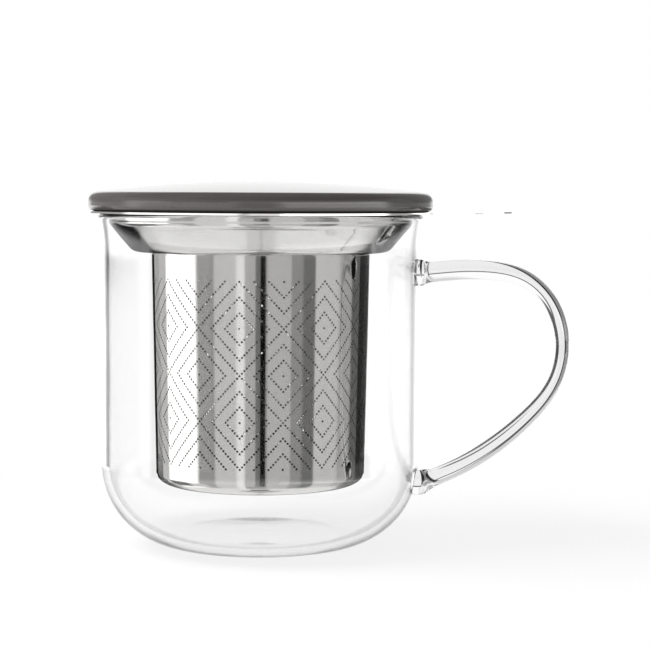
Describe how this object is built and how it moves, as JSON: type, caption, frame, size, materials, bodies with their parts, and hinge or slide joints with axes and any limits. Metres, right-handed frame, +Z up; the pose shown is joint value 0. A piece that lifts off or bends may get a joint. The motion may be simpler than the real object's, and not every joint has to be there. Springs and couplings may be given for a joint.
{
  "type": "lidded tea mug with infuser",
  "caption": "Glass tea mug with a loop handle, a lift-out perforated steel infuser hung from its rim by a flange with a lifting tab, and a domed lid.",
  "frame": {"origin": "centre of the mug's flat base", "axes": "+Z up along the mug's axis, +X towards the handle and the infuser's lifting tab, +Y to the back"},
  "size_m": [0.131, 0.094, 0.0993],
  "materials": {
    "glass": "clear borosilicate glass, blown and fire-polished",
    "satin_steel": "stainless sheet, satin",
    "polished_steel": "stainless sheet, mirror polished",
    "glaze": "porcelain with a warm grey glossy glaze"
  },
  "bodies": {
    "mug": {"mug_body": "glass", "mug_handle": "glass"},
    "infuser": {"infuser_collar": "satin_steel", "basket_wall": "polished_steel", "basket_base": "polished_steel"},
    "lid": {"lid": "glaze"}
  },
  "joints": [
    {"name": "lift_infuser", "type": "slide", "parent": "mug", "child": "infuser", "axis": [0, 0, 1], "range_m": [0, 0.085]},
    {"name": "lift_lid", "type": "slide", "parent": "infuser", "child": "lid", "axis": [0, 0, 1], "range_m": [0, 0.04]}
  ]
}
